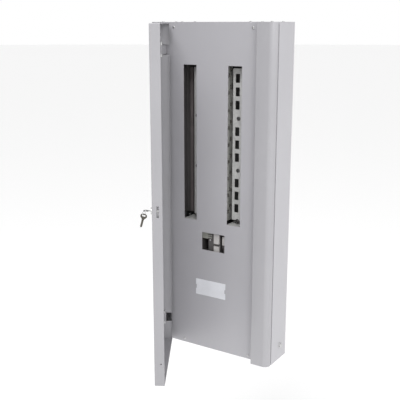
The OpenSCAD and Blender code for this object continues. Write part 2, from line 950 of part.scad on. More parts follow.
module bar_screws() {
    color("gainsboro") in_frame() for (z = [nbar_z, ebar_z])
        bar_screw_points(z) rotate([90, 10, 0]) screw(screw_r, bar_screw_l, bar_head_r, bar_head_h);
}

// Door, drawn closed and then swung open about the hinge pins

module door_panel() {
    color("silver") door_frame() difference() {
        block(door_x0, door_x1, door_yf, door_yb, door_z0, door_z1);
        block(door_x0 + sheet_t, door_x1 - sheet_t, door_yf + sheet_t, door_yb + 1,
            door_z0 + sheet_t, door_z1 - sheet_t);
        for (z = hinge_z)
            block(door_x0 - 1, door_x0 + sheet_t + 1, door_yf + sheet_t, door_yb + 1,
                z - notch_h / 2, z + notch_h / 2);
        translate([lock_x, 0, lock_z]) rod_y(barrel_r + screw_fit, door_yf - over, door_yf + rivet_reach);
        block(door_x1 - rivet_reach, door_x1 + over, cam_y - cam_slot_y / 2, cam_y + cam_slot_y / 2,
            lock_z - cam_slot_h / 2, lock_z + cam_slot_h / 2);
        translate([door_x1 - rivet_reach, door_yf + edge_hole_y, edge_hole_z]) rotate([0, 90, 0])
            cylinder(r = edge_hole_r, h = 2 * rivet_reach);
        leaf_rivet_points() rod_y(leaf_rivet_r + rivet_fit, -rivet_reach, rivet_reach);
    }
}

module hem_run(z0, z1) {
    block(door_x0 + sheet_t, door_x0 + sheet_t + hem_t, door_yb - hem_h, door_yb - tip_gap, z0, z1);
    block(door_x0 + sheet_t, door_x0 + sheet_t + hem_w, door_yb - hem_t - tip_gap, door_yb - tip_gap, z0, z1);
}

module door_hem() {
    gap = notch_h / 2 + notch_gap;
    color("lightgray") door_frame() {
        hem_run(door_z0 + sheet_t + 1, hinge_z[0] - gap);
        hem_run(hinge_z[0] + gap, hinge_z[1] - gap);
        hem_run(hinge_z[1] + gap, door_z1 - sheet_t - 1);
    }
}

module leaf_rivet_points() {
    for (z = hinge_z, dz = [-1, 1])
        translate([pivot_x + leaf_in + leaf_w / 2, door_yf, z + dz * leaf_rivet_z]) children();
}

module hinge_leaf(z) {
    reach = hinge_h / 2 + knuckle_gap + knuckle_h;
    y0 = door_yf + sheet_t;
    difference() {
        union() {
            block(pivot_x + leaf_in, pivot_x + leaf_in + leaf_w, y0, y0 + leaf_t, z - reach, z + reach);
            for (z0 = [z - reach, z + reach - knuckle_h]) {
                block(pivot_x, pivot_x + leaf_in + over, y0, y0 + leaf_t, z0, z0 + knuckle_h);
                translate([pivot_x, pivot_y, z0]) cylinder(r = knuckle_r, h = knuckle_h);
            }
        }
        translate([pivot_x, pivot_y, z - 2 * reach]) cylinder(r = pin_r + run_fit, h = 4 * reach);
        leaf_rivet_points() rod_y(leaf_rivet_r + rivet_fit, -rivet_reach, rivet_reach);
    }
}

module hinge_leaf_top() {
    color("gainsboro") door_frame() hinge_leaf(hinge_z[1]);
}

module hinge_leaf_bottom() {
    color("gainsboro") door_frame() hinge_leaf(hinge_z[0]);
}

module leaf_rivets() {
    color("gainsboro") door_frame() leaf_rivet_points() {
        rod_y(leaf_rivet_r, 0, sheet_t + leaf_t + eps);
        translate([0, sheet_t + leaf_t, 0]) rod_y(leaf_head_r, 0, leaf_head_h);
    }
}

module door_buffers() {
    color("black") door_frame() for (z = [door_z0 + buffer_in, door_z1 - buffer_in])
        translate([door_x1 - buffer_x, 0, z]) rod_y(buffer_r, door_yf + sheet_t, door_yb - 2 * tip_gap);
}

// Cam lock near the free edge of the door

module lock_barrel() {
    color("gainsboro") door_frame() translate([lock_x, door_yf, lock_z]) difference() {
        union() {
            rod_y(barrel_flange_r, -barrel_flange_h, 0);
            rod_y(barrel_r, -eps, barrel_l);
        }
        rod_y(plug_r + run_fit, -barrel_flange_h - over, barrel_l + over);
    }
}

module lock_nut() {
    color("gainsboro") door_frame() translate([lock_x, door_yf + sheet_t, lock_z]) rotate([-90, 0, 0])
        difference() {
            hex(lock_nut_af, lock_nut_h);
            translate([0, 0, -over]) cylinder(r = barrel_r, h = lock_nut_h + 2 * over);
        }
}

module lock_plug() {
    color("gainsboro") door_frame() translate([lock_x, door_yf, lock_z]) difference() {
        rod_y(plug_r, -barrel_flange_h + 0.4, cam_y - cam_t / 2 - door_yf);
        block(-keyway_half, keyway_half, -barrel_flange_h - over, key_stop + key_gap - door_yf,
            -key_t / 2 - key_fit, key_t / 2 + key_fit);
        rod_y(screw_r, plug_thread, 2 * deep);
    }
}

module lock_cam() {
    color("gainsboro") door_frame() translate([lock_x, cam_y, lock_z]) difference() {
        union() {
            rod_y(cam_w / 2, -cam_t / 2, cam_t / 2);
            block(-cam_w / 2, cam_w / 2, -cam_t / 2, cam_t / 2, -cam_reach + cam_w / 2, 0);
            translate([0, 0, -cam_reach + cam_w / 2]) rod_y(cam_w / 2, -cam_t / 2, cam_t / 2);
        }
        rod_y(screw_r + screw_fit, -rivet_reach, rivet_reach);
    }
}

module cam_screw() {
    color("gainsboro") door_frame() translate([lock_x, cam_y + cam_t / 2, lock_z])
        rotate([-90, 0, 0]) screw(screw_r, cam_screw_l, small_head_r, cam_head_h);
}

// Keys: drawn flat with the middle of the eye at the origin and the blade along +X.

module key_bow() {
    for (s = [-1, 1]) translate([key_eye_in, s * key_bow_side, 0]) cylinder(r = key_bow_r, h = key_t);
    translate([key_eye_in - key_bow_r, -key_bow_side, 0]) cube([2 * key_bow_r, 2 * key_bow_side, key_t]);
}

module key_blade(len) {
    linear_extrude(height = key_t)
        polygon([[key_eye_in + key_root, -key_bow], [key_eye_in + key_root, key_bow],
            [key_neck, key_w], [len, key_end],
            [len + key_tip, key_nose], [len + key_tip, -key_nose], [len, -key_end], [key_neck, -key_w]]);
}

module key_flat(len) {
    translate([0, 0, -key_t / 2]) difference() {
        union() {
            key_bow();
            key_blade(len);
        }
        for (s = [-1, 1]) translate([0, s * key_eye_side, -1]) cylinder(r = key_eye_r, h = key_t + 2);
        translate([-key_eye_r, -key_eye_side, -1]) cube([2 * key_eye_r, 2 * key_eye_side, key_t + 2]);
        for (i = [0:2])
            translate([key_neck + tooth_first + i * tooth_pitch, tooth_in, -over]) rotate([0, 0, 45])
            cube([tooth_w, tooth_w, 2 * key_t + 4 * over], center = true);
    }
}

module lock_key() {
    color("gainsboro") door_frame() translate([lock_x, eye_y, lock_z]) rotate([0, 0, 90])
        key_flat(key_stop - eye_y - key_tip);
}

module key_ring() {
    color("gainsboro") door_frame() translate([lock_x, eye_y, lock_z - ring_drop])
        rotate([0, 0, ring_turn]) translate([0, -ring_out, 0]) rotate([0, 90, 0])
            rotate_extrude() translate([ring_r, 0]) circle(r = ring_wire);
}

module spare_key() {
    color("darkkhaki") door_frame() translate([lock_x, eye_y, lock_z - ring_drop - ring_r])
        translate([ring_out * sin(ring_turn), -ring_out * cos(ring_turn), 0])
            rotate([-spare_lean, 0, 0]) rotate([0, 90, 0])
                translate([key_eye_r - ring_wire - ring_gap, 0, 0]) key_flat(key_len);
}

back_box();
top_gland_plate();
bottom_gland_plate();
gland_screws();
corner_screws();
trim_left();
trim_right();
trim_caps_left();
trim_caps_right();
front_cover();
cover_screws();
label_plate();
label_rivets();
earth_stud();
hinge_arm_top();
hinge_arm_bottom();
hinge_pins();
hinge_screws();
pan_plate();
pan_pillars();
pan_nuts();
busbar_l1();
busbar_l2();
busbar_l3();
busbar_supports();
bus_fingers();
bus_shroud();
slot_shelves();
strip_right();
strip_left();
strip_posts();
strip_screws();
left_liner();
neutral_riser();
rail_right();
incomer_base();
incomer_covers();
incomer_block();
incomer_screws();
incomer_knob();
neutral_bar();
earth_bar();
bar_blocks();
bar_screws();
door_panel();
door_hem();
hinge_leaf_top();
hinge_leaf_bottom();
leaf_rivets();
door_buffers();
lock_barrel();
lock_nut();
lock_plug();
lock_cam();
cam_screw();
lock_key();
key_ring();
spare_key();
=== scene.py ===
"""Looks for a wall-mounted distribution board: every piece gets soft edges and a worked finish."""

import json
import math

import bmesh
import bpy
from mathutils import Matrix, Vector


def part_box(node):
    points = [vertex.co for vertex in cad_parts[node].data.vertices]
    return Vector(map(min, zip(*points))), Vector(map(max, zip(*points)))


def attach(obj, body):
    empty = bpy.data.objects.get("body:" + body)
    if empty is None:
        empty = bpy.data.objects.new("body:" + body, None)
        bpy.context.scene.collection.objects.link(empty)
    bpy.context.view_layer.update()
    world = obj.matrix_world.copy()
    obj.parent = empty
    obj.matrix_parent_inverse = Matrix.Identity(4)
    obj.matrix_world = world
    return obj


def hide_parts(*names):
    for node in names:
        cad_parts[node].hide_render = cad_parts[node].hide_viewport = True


bl_info = {
    "name": "Distribution board",
    "version": (1, 0, 0),
    "blender": (4, 5, 0),
    "location": "View3D > Sidebar > Board",
    "description": "Builds the visible pieces of a wall-mounted distribution board",
    "category": "Object",
}

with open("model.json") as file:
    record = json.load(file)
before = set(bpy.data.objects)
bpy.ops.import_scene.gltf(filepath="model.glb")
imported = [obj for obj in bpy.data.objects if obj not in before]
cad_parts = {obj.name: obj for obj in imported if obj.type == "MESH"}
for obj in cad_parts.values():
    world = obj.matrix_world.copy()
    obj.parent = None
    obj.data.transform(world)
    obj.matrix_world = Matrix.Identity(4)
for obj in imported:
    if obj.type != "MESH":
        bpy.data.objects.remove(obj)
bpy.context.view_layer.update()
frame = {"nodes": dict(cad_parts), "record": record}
RECORD = frame["record"]
SLOT_OF = {row["node"]: row["material_slot"] for row in RECORD["subparts"]}
BODY_OF = {node: body for body, nodes in RECORD["behaviour"]["bodies"].items() for node in nodes}
MM = 0.001
# Added to the name of every finished material, so that it differs from the plain slot's
FINISHED = "_finish"

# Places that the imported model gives
BOX_LOW, BOX_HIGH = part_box("back_box")
DOOR_JOINT = next(j for j in RECORD["behaviour"]["joints"] if j["name"] == "door_hinge")
DOOR_PIVOT = Vector(DOOR_JOINT["pos_m"])
DOOR_ANGLE = math.radians(DOOR_JOINT["range_deg"][1])
HALF_WIDTH = BOX_HIGH.x
HALF_HEIGHT = BOX_HIGH.z

# The window for the lock cam in the return of the right trim
CAM_WINDOW_HALF = 17 * MM
CAM_WINDOW_FRONT = -121 * MM
CAM_WINDOW_BACK = -112 * MM

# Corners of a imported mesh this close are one, and faces this nearly level are one
WELD_GAP = 0.001 * MM
LEVEL_ANGLE = math.radians(0.5)
# Edges that turn by more than this many degrees are softened
SOFTEN_ANGLE = 40.0
# Edges that still turn by more than this are shaded as sharp
STAY_SHARP_ANGLE = math.radians(50.0)
# How far a place may be from a face and count as on it; more for the turned door
SLACK = 0.02 * MM
DOOR_SLACK = 0.05 * MM

# Softening of the edges of single pieces
ARM_EDGE = 0.5 * MM
KNOB_EDGE = 0.5 * MM
FINGER_EDGE = 0.4 * MM
TRIM_EDGE = 0.3 * MM
RAIL_EDGE = 0.25 * MM
# Softening of thin sheets and of the door as shares of the cut edge, and the box's fold as a
# share of the fold
THIN_SHARE = 0.6
DOOR_SHARE = 0.8
FOLD_SHARE = 0.9

# Steps in the rounded edge of a side trim and in its fold, and the fold into its lip
ROUND_STEPS = 40
FOLD_STEPS = 4
LIP_FOLD = 0.55 * MM
LIP_STEPS = 3
# From a side trim's front face to a place that is surely inside it
TRIM_INSIDE = 8 * MM

# A screw head: height of its upright rim as a share of the head, steps up its dome and round it
HEAD_RIM = 0.28
DOME_STEPS = 7
ROUND_HEAD_STEPS = 28
SPUN_GAP = 0.01 * MM
# Its slot: length and width as shares of the head's radius, and the softening of its edges
SLOT_LENGTH = 3
SLOT_WIDTH = 0.26
SLOT_EDGE = 0.08 * MM
SLOT_ANGLE = 55.0
# Turn from one screw slot to the next, in degrees, so that no two stand alike
SLOT_STEP = 137.5

# Layout of a node tree: nodes in a row, and the distances between them
ROW = 8
ACROSS = 220
DOWN = 260

# Height of the ripples and grains in the finishes
PAINT_RELIEF = 0.00004
METAL_RELIEF = 0.00002
GRAIN_RELIEF = 0.00004
LABEL_RELIEF = 0.00002
RUBBER_RELIEF = 0.00008
PAINT_COAT_ROUGHNESS = 0.22
MOULDING_WEAR = 0.25
# Patches of wear: from this noise to this they grow from none to full
PATCH_LOW = 0.42
PATCH_HIGH = 0.68
# Noise scales, in features in a metre: slow clouds of tone, flakes of zinc and worn patches
PAINT_CLOUDS = 4.5
METAL_CLOUDS = 26.0
MOULDING_CLOUDS = 16.0
ZINC_FLAKES = 210.0
PAINT_PATCHES = 55.0
METAL_PATCHES = 120.0
MOULDING_PATCHES = 80.0
# Fine ripples of the paint: how much finer than the peel, and their share of the height
FINE_PEEL = 3.1
FINE_SHARE = 0.3
# How much each pattern changes the tone
PAINT_SPECK_TONE = 0.022
METAL_CLOUD_TONE = 0.07
MOULDING_CLOUD_TONE = 0.08
MOULDING_GRAIN_TONE = 0.05
# How much brighter a worn edge is than the rest
RUBBED_PAINT = 1.35
RUBBED_METAL = 1.4
RUBBED_MOULDING = 1.6
RUBBED_GREY = (0.30, 0.30, 0.29, 1.0)
# How much each pattern changes the roughness
PAINT_CLOUD_ROUGHNESS = 0.05
PAINT_SPECK_ROUGHNESS = 0.03
PAINT_WEAR_ROUGHNESS = -0.1
METAL_CLOUD_ROUGHNESS = 0.08
METAL_STREAK_ROUGHNESS = 0.06
METAL_WEAR_ROUGHNESS = -0.12
MOULDING_CLOUD_ROUGHNESS = 0.07
MOULDING_WEAR_ROUGHNESS = -0.08
# Noise from this to this is spread over the whole range
NOISE_LOW = 0.3
NOISE_HIGH = 0.7

# Brightness of the sky changes over this much on each side of level
SKY_STEP = 0.001
# The round floor, in metres
FLOOR_RADIUS = 60.0
FLOOR_STEPS = 96
FLOOR_ROUGHNESS = 0.9
# The camera: place in metres, dip and turn in degrees, lens and sensor in millimetres
CAMERA_PLACE = (1.139216, -1.974591, 0.523147)
CAMERA_DIP = 13.858
CAMERA_TURN = 32.371
CAMERA_LENS = 64.14
CAMERA_SENSOR = 36.0
# Place and width of each lamp, in metres, and the point they face
KEY_LAMP = ((0.4, -2.2, 3.2), 1.8)
FRONT_LAMP = ((2.9, -3.0, 1.4), 1.2)
LAMP_AIM = (0.0, -0.05, 0.0)


def closed_door(point):
    """A point on the open door, moved to where it is when the door is closed."""
    turn = Matrix.Rotation(DOOR_ANGLE, 3, "Z")
    return turn @ (Vector(point) - DOOR_PIVOT) + DOOR_PIVOT


# ---------------------------------------------------------------- sizes and colours


def length(name, description, default, low=0.0, high=0.1):
    return bpy.props.FloatProperty(
        name=name, description=description, default=default, min=low, max=high,
        unit="LENGTH", subtype="DISTANCE", precision=5)


def colour(name, description, default):
    return bpy.props.FloatVectorProperty(
        name=name, description=description, default=default, size=3, min=0.0, max=1.0,
        subtype="COLOR")


def share(name, description, default, high=1.0):
    return bpy.props.FloatProperty(
        name=name, description=description, default=default, min=0.0, max=high,
        subtype="FACTOR")


class BoardSizes(bpy.types.PropertyGroup):
    """Sizes of the folds and softened edges."""

    sheet: length("Sheet", "Thickness of the sheet steel", 1.5 * MM)
    fold: length("Fold", "Outer radius of the folds in box and door", 1.8 * MM)
    trim_fold: length("Trim fold", "Radius of the inner fold of a side trim", 1.6 * MM)
    trim_round: length("Trim round", "Radius of the rounded outer edge of a trim", 20.0 * MM)
    trim_lip: length("Trim lip", "Width of the lip that turns into the groove", 6.7 * MM)
    edge: length("Cut edge", "Softening of a cut sheet edge", 0.35 * MM)
    small_edge: length("Small edge", "Softening of small metal pieces", 0.2 * MM)
    moulded_edge: length("Moulded edge", "Softening of moulded pieces", 0.6 * MM)
    bar_edge: length("Bar edge", "Softening of the copper bars", 0.7 * MM)
    key_edge: length("Key edge", "Softening of the keys", 0.3 * MM)


class BoardFinish(bpy.types.PropertyGroup):
    """Colours and textures of the finishes."""

    # Box, trims, cover and door wear one and the same powder coat. These four tints are lit and
    # shaded copies of it, as painted light and shade: the box and cover lighter, the trims and door
    # darker, to match how light falls on each.
    box_paint: colour("Box", "Powder coat on the box", (0.442, 0.436, 0.459))
    trim_paint: colour("Trims", "Powder coat on the side trims", (0.352, 0.347, 0.366))
    cover_paint: colour("Cover", "Powder coat on the front cover", (0.402, 0.397, 0.419))
    door_paint: colour("Door", "Powder coat on the door", (0.345, 0.341, 0.358))
    zinc: colour("Zinc", "Bright zinc plate", (0.60, 0.60, 0.60))
    strip: colour("Strip", "Dull galvanised strip", (0.52, 0.52, 0.51))
    # Also laid on the chassis plate and on the rail behind the strip as painted shade.
    dark_steel: colour("Dark steel", "Phosphate finish", (0.10, 0.10, 0.10))
    copper: colour("Copper", "Bare copper", (0.17, 0.135, 0.125))
    riser: colour("Riser", "Dull brown tin plate on the riser", (0.22, 0.195, 0.195))
    tinned: colour("Tinned copper", "Tin plate on the copper fingers", (0.34, 0.33, 0.30))
    brass: colour("Brass", "Bare brass", (0.62, 0.48, 0.24))
    block: colour("Block", "Moulded, dark olive grey", (0.33, 0.33, 0.30))
    # Painted light: the dark olive grey shroud gets this pale tint to make up for the shade in the
    # slots around it.
    shroud: colour("Shroud", "Olive grey moulding", (0.70, 0.70, 0.66))
    black: colour("Black", "Black moulding", (0.115, 0.108, 0.108))
    white: colour("White", "White moulding", (0.58, 0.56, 0.55))
    label: colour("Label", "Blank label plate", (0.70, 0.71, 0.745))
    key_metal: colour("Key", "Dull nickel silver", (0.115, 0.108, 0.093))
    rubber: colour("Rubber", "Soft black rubber", (0.03, 0.03, 0.03))
    drift: share("Drift", "How much the paint's tone wanders", 0.03)
    wear: share("Wear", "How bright the worn edges are", 0.35)
    peel: bpy.props.FloatProperty(
        name="Peel", description="Ripples in a metre of powder coat", default=620.0,
        min=10.0, max=4000.0)


class BoardStage(bpy.types.PropertyGroup):
    """Floor, lights and camera."""

    floor_drop: length("Floor drop", "From the bottom of the board to the floor", 0.62, 0.0, 3.0)
    floor: colour("Floor", "Colour of the floor", (0.8, 0.8, 0.8))
    sky_right: share("Sky right", "Brightness of the sky on the right", 1.6, 4.0)
    sky_left: share("Sky left", "Brightness of the sky on the left", 0.05, 4.0)
    sky_front: share("Sky front", "Brightness of the sky before the board", 0.36, 4.0)
    sky_back: share("Sky back", "Brightness of the sky behind the board", 0.35, 4.0)
    sky_top: share("Sky top", "Brightness of the sky overhead", 1.0, 4.0)
    floor_glow: share("Floor glow", "Light that the floor gives by itself", 0.29, 2.0)
    key_power: bpy.props.FloatProperty(
        name="Key light", description="Power of the lamp above the front", default=80.0, min=0.0,
        subtype="POWER", unit="POWER")
    fill_power: bpy.props.FloatProperty(
        name="Front light", description="Power of the front lamp", default=26.0, min=0.0,
        subtype="POWER", unit="POWER")


def sizes():
    return bpy.context.scene.board_sizes


def finishes():
    return bpy.context.scene.board_finish


# ---------------------------------------------------------------- shader groups


class Graph:
    """A node tree being filled, with short calls for adding and joining nodes."""

    def __init__(self, tree):
        self.tree = tree
        self.count = 0

    def add(self, kind, settings=(), **inputs):
        made = self.tree.nodes.new("ShaderNode" + kind)
        made.location = (ACROSS * (self.count % ROW), -DOWN * (self.count // ROW))
        self.count += 1
        for key, value in dict(settings).items():
            setattr(made, key, value)
        for key, value in inputs.items():
            self.put(made.inputs[key.replace("_", " ")], value)
        return made

    def put(self, socket, value):
        if isinstance(value, bpy.types.NodeSocket):
            self.tree.links.new(value, socket)
        else:
            socket.default_value = value

    def math(self, operation, first, second=0.0, third=0.0):
        made = self.add("Math", {"operation": operation})
        for socket, value in zip(made.inputs, (first, second, third)):
            self.put(socket, value)
        return made.outputs[0]

    def noise(self, vector, scale, detail=2.0, roughness=0.5):
        made = self.add("TexNoise", Vector=vector, Scale=scale, Detail=detail,
                        Roughness=roughness)
        return made.outputs["Fac"]

    def span(self, value, low, high, to_low=0.0, to_high=1.0):
        made = self.add("MapRange", {"clamp": True}, Value=value)
        for key, number in zip(("From Min", "From Max", "To Min", "To Max"),
                               (low, high, to_low, to_high)):
            self.put(made.inputs[key], number)
        return made.outputs[0]

    def scaled(self, vector, factor):
        made = self.add("VectorMath", {"operation": "SCALE"})
        self.put(made.inputs[0], vector)
        self.put(made.inputs["Scale"], factor)
        return made.outputs[0]

    def mix(self, factor, first, second):
        made = self.add("Mix", {"data_type": "RGBA"})
        for name, value in (("Factor_Float", factor), ("A_Color", first), ("B_Color", second)):
            socket = next(s for s in made.inputs if s.identifier == name)
            self.put(socket, value)
        return next(s for s in made.outputs if s.identifier == "Result_Color")


def shader_group(name, inputs):
    """A new shader group with these inputs, which puts out colour, roughness and height."""
    tree = bpy.data.node_groups.new(name, "ShaderNodeTree")
    kinds = {float: "NodeSocketFloat", tuple: "NodeSocketVector"}
    for label, default in inputs:
        kind = "NodeSocketColor" if label == "Colour" else kinds[type(default)]
        socket = tree.interface.new_socket(label, in_out="INPUT", socket_type=kind)
        socket.default_value = default
    for label, kind in (("Colour", "NodeSocketColor"), ("Roughness", "NodeSocketFloat"),
                        ("Height", "NodeSocketFloat")):
        tree.interface.new_socket(label, in_out="OUTPUT", socket_type=kind)
    graph = Graph(tree)
    source = tree.nodes.new("NodeGroupInput").outputs
    target = tree.nodes.new("NodeGroupOutput").inputs
    return graph, source, target


def edge_mask(graph, place, amount, scale):
    """Where softened edges are rubbed bright, in broken patches."""
    edge = graph.add("Attribute", {"attribute_name": "edge_wear"}).outputs["Fac"]
    patches = graph.span(graph.noise(place, scale, 4.0, 0.6), PATCH_LOW, PATCH_HIGH)
    return graph.math("MULTIPLY", graph.math("MULTIPLY", edge, patches), amount)


def powder_coat_group():
    graph, source, target = shader_group("Powder coat", [
        ("Colour", (0.3, 0.3, 0.3, 1.0)), ("Drift", 0.03), ("Peel", 620.0), ("Wear", 0.3),
        ("Base roughness", 0.42)])
    place = graph.add("TexCoord").outputs["Object"]
    slow = graph.noise(place, PAINT_CLOUDS, 3.0)
    ripple = graph.noise(place, source["Peel"], 1.5)
    fine = graph.noise(place, graph.math("MULTIPLY", source["Peel"], FINE_PEEL), 1.0)
    wander = graph.span(slow, NOISE_LOW, NOISE_HIGH, -1.0, 1.0)
    speck = graph.span(fine, NOISE_LOW, NOISE_HIGH, -1.0, 1.0)
    tone = graph.math("MULTIPLY_ADD", wander, source["Drift"], 1.0)
    tone = graph.math("MULTIPLY_ADD", speck, PAINT_SPECK_TONE, tone)
    base = graph.scaled(source["Colour"], tone)
    worn = edge_mask(graph, place, source["Wear"], PAINT_PATCHES)
    bright = graph.scaled(source["Colour"], RUBBED_PAINT)
    graph.put(target["Colour"], graph.mix(worn, base, bright))
    rough = graph.math("MULTIPLY_ADD", wander, PAINT_CLOUD_ROUGHNESS, source["Base roughness"])
    rough = graph.math("MULTIPLY_ADD", speck, PAINT_SPECK_ROUGHNESS, rough)
    graph.put(target["Roughness"],
              graph.math("MULTIPLY_ADD", worn, PAINT_WEAR_ROUGHNESS, rough))
    graph.put(target["Height"], graph.math("MULTIPLY_ADD", fine, FINE_SHARE, ripple))


def metal_group():
    graph, source, target = shader_group("Worked metal", [
        ("Colour", (0.6, 0.6, 0.6, 1.0)), ("Streaks", (900.0, 900.0, 60.0)), ("Streak depth", 0.1),
        ("Spangle", 0.06), ("Wear", 0.3), ("Base roughness", 0.35)])
    place = graph.add("TexCoord").outputs["Object"]
    stretched = graph.add("VectorMath", {"operation": "MULTIPLY"})
    graph.put(stretched.inputs[0], place)
    graph.put(stretched.inputs[1], source["Streaks"])
    streak = graph.span(graph.noise(stretched.outputs[0], 1.0, 3.0),
                        NOISE_LOW, NOISE_HIGH, -1.0, 1.0)
    flake = graph.add("TexVoronoi", {"feature": "F1"}, Vector=place, Scale=ZINC_FLAKES)
    flakes = graph.add("SeparateColor", Color=flake.outputs["Color"]).outputs[0]
    blotch = graph.span(graph.noise(place, METAL_CLOUDS, 3.0), NOISE_LOW, NOISE_HIGH, -1.0, 1.0)
    tone = graph.math("MULTIPLY_ADD", streak, source["Streak depth"], 1.0)
    tone = graph.math("MULTIPLY_ADD", graph.span(flakes, 0.0, 1.0, -1.0, 1.0),
                      source["Spangle"], tone)
    tone = graph.math("MULTIPLY_ADD", blotch, METAL_CLOUD_TONE, tone)
    base = graph.scaled(source["Colour"], tone)
    worn = edge_mask(graph, place, source["Wear"], METAL_PATCHES)
    bright = graph.scaled(source["Colour"], RUBBED_METAL)
    graph.put(target["Colour"], graph.mix(worn, base, bright))
    rough = graph.math("MULTIPLY_ADD", blotch, METAL_CLOUD_ROUGHNESS, source["Base roughness"])
    rough = graph.math("MULTIPLY_ADD", streak, METAL_STREAK_ROUGHNESS, rough)
    graph.put(target["Roughness"],
              graph.math("MULTIPLY_ADD", worn, METAL_WEAR_ROUGHNESS, rough))
    graph.put(target["Height"], streak)


def moulding_group():
    graph, source, target = shader_group("Moulding", [
        ("Colour", (0.1, 0.1, 0.1, 1.0)), ("Grain", 1500.0), ("Wear", 0.2),
        ("Base roughness", 0.5)])
    place = graph.add("TexCoord").outputs["Object"]
    flow = graph.span(graph.noise(place, MOULDING_CLOUDS, 3.0), NOISE_LOW, NOISE_HIGH, -1.0, 1.0)
    grain = graph.noise(place, source["Grain"], 2.0)
    tone = graph.math("MULTIPLY_ADD", flow, MOULDING_CLOUD_TONE, 1.0)
    tone = graph.math("MULTIPLY_ADD", graph.span(grain, NOISE_LOW, NOISE_HIGH, -1.0, 1.0),
                      MOULDING_GRAIN_TONE, tone)
    base = graph.scaled(source["Colour"], tone)
    worn = edge_mask(graph, place, source["Wear"], MOULDING_PATCHES)
    pale = graph.mix(0.5, graph.scaled(source["Colour"], RUBBED_MOULDING), RUBBED_GREY)
    graph.put(target["Colour"], graph.mix(worn, base, pale))
    rough = graph.math("MULTIPLY_ADD", flow, MOULDING_CLOUD_ROUGHNESS, source["Base roughness"])
    graph.put(target["Roughness"],
              graph.math("MULTIPLY_ADD", worn, MOULDING_WEAR_ROUGHNESS, rough))
    graph.put(target["Height"], grain)


# ---------------------------------------------------------------- materials


def finish(name, group, values, metallic, bump, coat=0.0, coat_roughness=0.3, specular=0.5):
    """A material whose colour, roughness and bump come from a shared group."""
    made = bpy.data.materials.new(name + FINISHED)
    made.use_nodes = True
    made.node_tree.nodes.clear()
    graph = Graph(made.node_tree)
    effect = graph.add("Group", {"node_tree": bpy.data.node_groups[group]})
    effect.label = group
    for key, value in values.items():
        graph.put(effect.inputs[key], value)
    relief = graph.add("Bump", Height=effect.outputs["Height"], Distance=bump, Strength=1.0)
    surface = graph.add("BsdfPrincipled", Metallic=metallic)
    surface.inputs["Coat Weight"].default_value = coat
    surface.inputs["Coat Roughness"].default_value = coat_roughness
    surface.inputs["Specular IOR Level"].default_value = specular
    graph.put(surface.inputs["Base Color"], effect.outputs["Colour"])
    graph.put(surface.inputs["Roughness"], effect.outputs["Roughness"])
    graph.put(surface.inputs["Normal"], relief.outputs["Normal"])
    result = graph.add("OutputMaterial")
    graph.put(result.inputs["Surface"], surface.outputs["BSDF"])
    made.diffuse_color = (*tuple(values["Colour"])[:3], 1.0)
    return made


def paint(name, tint, roughness=0.42, coat=0.15):
    look = finishes()
    finish(name, "Powder coat", {
        "Colour": (*tint, 1.0), "Drift": look.drift, "Peel": look.peel, "Wear": look.wear,
        "Base roughness": roughness}, 0.0, PAINT_RELIEF, coat=coat,
        coat_roughness=PAINT_COAT_ROUGHNESS)


def metal(name, tint, roughness, streaks, depth, spangle, metallic=1.0):
    finish(name, "Worked metal", {
        "Colour": (*tint, 1.0), "Streaks": streaks, "Streak depth": depth, "Spangle": spangle,
        "Wear": finishes().wear, "Base roughness": roughness}, metallic,
        METAL_RELIEF)


def moulding(name, tint, roughness, grain, bump=GRAIN_RELIEF):
    finish(name, "Moulding", {
        "Colour": (*tint, 1.0), "Grain": grain, "Wear": MOULDING_WEAR, "Base roughness": roughness},
        0.0, bump)


def make_finishes():
    look = finishes()
    powder_coat_group()
    metal_group()
    moulding_group()
    # One powder coat in four tints: lit and shaded copies, painted light and shade.
    paint("box_paint", look.box_paint)
    paint("trim_paint", look.trim_paint, 0.24, coat=0.9)
    paint("cover_paint", look.cover_paint, 0.46)
    paint("door_paint", look.door_paint, 0.42)
    # Name, colour, roughness, streaks in a metre along each axis, streak depth and spangle
    metal("zinc", look.zinc, 0.34, (700.0, 700.0, 60.0), 0.06, 0.07)
    metal("strip_plate", look.strip, 0.55, (500.0, 500.0, 40.0), 0.05, 0.06, metallic=0.25)
    metal("chassis_plate", look.strip, 0.48, (60.0, 500.0, 500.0), 0.05, 0.09, metallic=0.7)
    metal("dark_steel", look.dark_steel, 0.5, (400.0, 400.0, 80.0), 0.12, 0.05, metallic=0.8)
    metal("riser_plate", look.riser, 0.5, (900.0, 900.0, 30.0), 0.08, 0.03, metallic=0.3)
    metal("copper", look.copper, 0.36, (900.0, 900.0, 30.0), 0.12, 0.02)
    metal("tinned_copper", look.tinned, 0.45, (300.0, 900.0, 300.0), 0.10, 0.04, metallic=0.6)
    metal("brass", look.brass, 0.33, (30.0, 900.0, 900.0), 0.10, 0.02)
    metal("key_metal", look.key_metal, 0.38, (500.0, 500.0, 120.0), 0.14, 0.04)
    # Name, colour, roughness and grains in a metre
    # The shroud's pale tint is painted light for the shaded slots.
    moulding("shroud_moulding", look.shroud, 0.5, 1500.0)
    moulding("block_moulding", look.block, 0.5, 1500.0)
    moulding("black_moulding", look.black, 0.42, 1700.0)
    moulding("white_moulding", look.white, 0.45, 1600.0)
    moulding("label", look.label, 0.4, 1900.0, LABEL_RELIEF)
    moulding("rubber", look.rubber, 0.75, 900.0, RUBBER_RELIEF)


# ---------------------------------------------------------------- shaping


def welded(node):
    """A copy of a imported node's mesh with its corners joined and flat faces whole."""
    bm = bmesh.new()
    bm.from_mesh(frame["nodes"][node].data)
    bmesh.ops.remove_doubles(bm, verts=bm.verts, dist=WELD_GAP)
    bmesh.ops.dissolve_limit(bm, angle_limit=LEVEL_ANGLE, verts=bm.verts, edges=bm.edges)
    return bm


